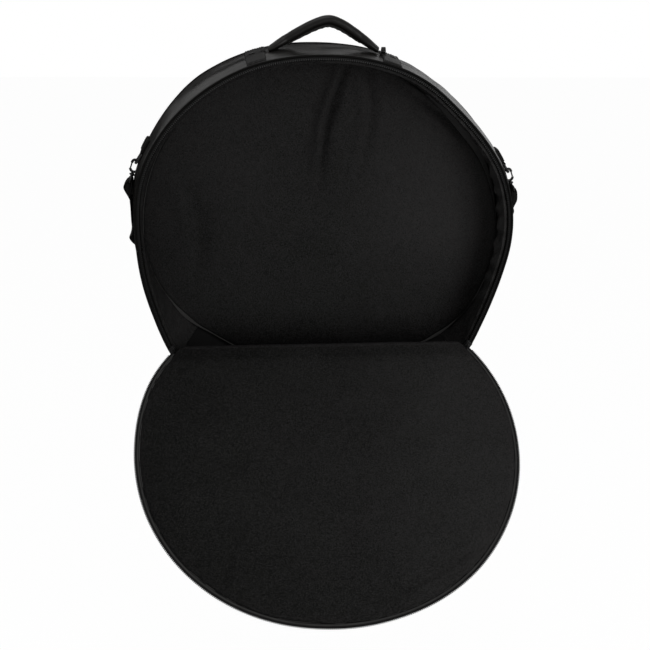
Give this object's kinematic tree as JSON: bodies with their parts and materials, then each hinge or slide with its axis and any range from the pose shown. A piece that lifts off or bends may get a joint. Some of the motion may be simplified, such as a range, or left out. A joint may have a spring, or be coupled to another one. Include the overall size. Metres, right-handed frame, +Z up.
{
  "type": "cymbal bag",
  "caption": "Round padded faux leather cymbal bag with a zipped fold-down front, fleece lining, top grip, side rings and a clip-on shoulder strap, shown open.",
  "frame": {"origin": "underside of the carrying grip, at the middle of its length, which is where the bag hangs", "axes": "+Z up, -Y out of the bag's mouth towards the front, +Y out of the back panel, +X to the right as seen from the front"},
  "size_m": [0.6142, 0.4907, 0.7363],
  "materials": {
    "leather": "soft satin faux leather with a fine grain",
    "fleece": "short dense black fleece",
    "plain_lining": "smooth matte black lining cloth",
    "foam": "closed-cell padding",
    "binding": "woven seam binding",
    "zip_tape": "woven zip tape",
    "zip_teeth": "moulded zip teeth",
    "hardware": "black nickel plate",
    "webbing": "ribbed polypropylene webbing"
  },
  "bodies": {
    "body": {"gusset_outer": "leather", "gusset_foam": "foam", "gusset_lining": "fleece", "base_outer": "leather", "base_foam": "foam", "base_lining": "plain_lining", "rim_piping": "leather", "rear_piping": "leather", "body_zip_tape": "zip_tape", "body_zip_teeth": "zip_teeth", "apron_seam_strip": "zip_tape", "back_outer_panel": "leather", "back_foam": "foam", "back_lining": "fleece", "rear_seam_binding": "binding", "apron_outer": "leather", "apron_foam": "foam", "apron_lining": "fleece", "hinge_welt": "leather", "zip_end_tab_left": "leather", "zip_end_tab_right": "leather", "handle_chape_left": "leather", "handle_chape_right": "leather", "handle_rivet_left": "hardware", "handle_rivet_right": "hardware", "ring_tab_left": "leather", "ring_tab_right": "leather", "swivel_eye_left": "hardware", "swivel_eye_right": "hardware", "strap_webbing": "webbing", "strap_pad": "leather"},
    "lid": {"lid_outer": "leather", "lid_foam": "foam", "lid_lining": "fleece", "lid_zip_tape": "zip_tape", "lid_zip_teeth": "zip_teeth", "pocket_padding": "foam", "pocket_cover": "leather", "pocket_zip_tape": "zip_tape", "pocket_zip_teeth": "zip_teeth"},
    "handle": {"handle_grip": "leather", "handle_seam_fin": "leather"},
    "strap_slide": {"strap_slide": "hardware"},
    "pocket_slider": {"pocket_slider": "hardware"},
    "pocket_pull": {"pocket_pull": "hardware"},
    "slider_left": {"zip_slider_left": "hardware"},
    "pull_left": {"zip_pull_left": "hardware"},
    "ring_left": {"d_ring_left": "hardware"},
    "hook_left": {"snap_hook_left": "hardware"},
    "gate_left": {"hook_gate_left": "hardware"},
    "slider_right": {"zip_slider_right": "hardware"},
    "pull_right": {"zip_pull_right": "hardware"},
    "ring_right": {"d_ring_right": "hardware"},
    "hook_right": {"snap_hook_right": "hardware"},
    "gate_right": {"hook_gate_right": "hardware"}
  },
  "joints": [
    {"name": "lid_hinge", "type": "hinge", "parent": "body", "child": "lid", "pos_m": [0, -0.05, -0.48219], "axis": [1, 0, 0], "range_deg": [-123, 27]},
    {"name": "zip_slide_left", "type": "hinge", "parent": "body", "child": "slider_left", "pos_m": [0, -0.043, -0.31895], "axis": [0, 1, 0], "range_deg": [0, 122]},
    {"name": "pull_swing_left", "type": "hinge", "parent": "slider_left", "child": "pull_left", "pos_m": [-0.2304, -0.0477, -0.48208], "axis": [-0.8161, 0, -0.5779], "range_deg": [0, 24]},
    {"name": "zip_slide_right", "type": "hinge", "parent": "body", "child": "slider_right", "pos_m": [0, -0.043, -0.31895], "axis": [0, -1, 0], "range_deg": [0, 122]},
    {"name": "pull_swing_right", "type": "hinge", "parent": "slider_right", "child": "pull_right", "pos_m": [0.2304, -0.0477, -0.48208], "axis": [-0.8161, 0, 0.5779], "range_deg": [0, 24]},
    {"name": "handle_swing", "type": "hinge", "parent": "body", "child": "handle", "pos_m": [0, 0, -0.0315], "axis": [1, 0, 0], "range_deg": [-50, 50]},
    {"name": "ring_swing_left", "type": "hinge", "parent": "body", "child": "ring_left", "pos_m": [-0.26566, 0, -0.18124], "axis": [0, 1, 0], "range_deg": [-3, 1.5]},
    {"name": "hook_swivel_left", "type": "hinge", "parent": "body", "child": "hook_left", "pos_m": [-0.27589, 0, -0.19482], "axis": [-0.3338, 0, -0.9426], "range_deg": [-20, 20]},
    {"name": "gate_open_left", "type": "hinge", "parent": "hook_left", "child": "gate_left", "pos_m": [-0.28399, 0, -0.20214], "axis": [0, 1, 0], "range_deg": [0, 20], "stiffness_Nm_per_rad": 0.004, "springref_deg": -20.05},
    {"name": "ring_swing_right", "type": "hinge", "parent": "body", "child": "ring_right", "pos_m": [0.27378, 0, -0.1982], "axis": [0, 1, 0], "range_deg": [-1.5, 3]},
    {"name": "hook_swivel_right", "type": "hinge", "parent": "body", "child": "hook_right", "pos_m": [0.28401, 0, -0.21177], "axis": [0.3338, 0, -0.9426], "range_deg": [-20, 20]},
    {"name": "gate_open_right", "type": "hinge", "parent": "hook_right", "child": "gate_right", "pos_m": [0.29212, 0, -0.21909], "axis": [0, -1, 0], "range_deg": [0, 20], "stiffness_Nm_per_rad": 0.004, "springref_deg": -20.05},
    {"name": "strap_adjust", "type": "slide", "parent": "body", "child": "strap_slide", "axis": [-0.7071, 0, 0.7071], "range_m": [-0.025, 0.025]},
    {"name": "pocket_zip_slide", "type": "slide", "parent": "lid", "child": "pocket_slider", "axis": [1, 0, 0], "range_m": [-0.236, 0]},
    {"name": "pocket_pull_swing", "type": "hinge", "parent": "pocket_slider", "child": "pocket_pull", "pos_m": [0.118, -0.29205, -0.65846], "axis": [0, 0.8387, 0.5446], "range_deg": [-85, 85]}
  ]
}
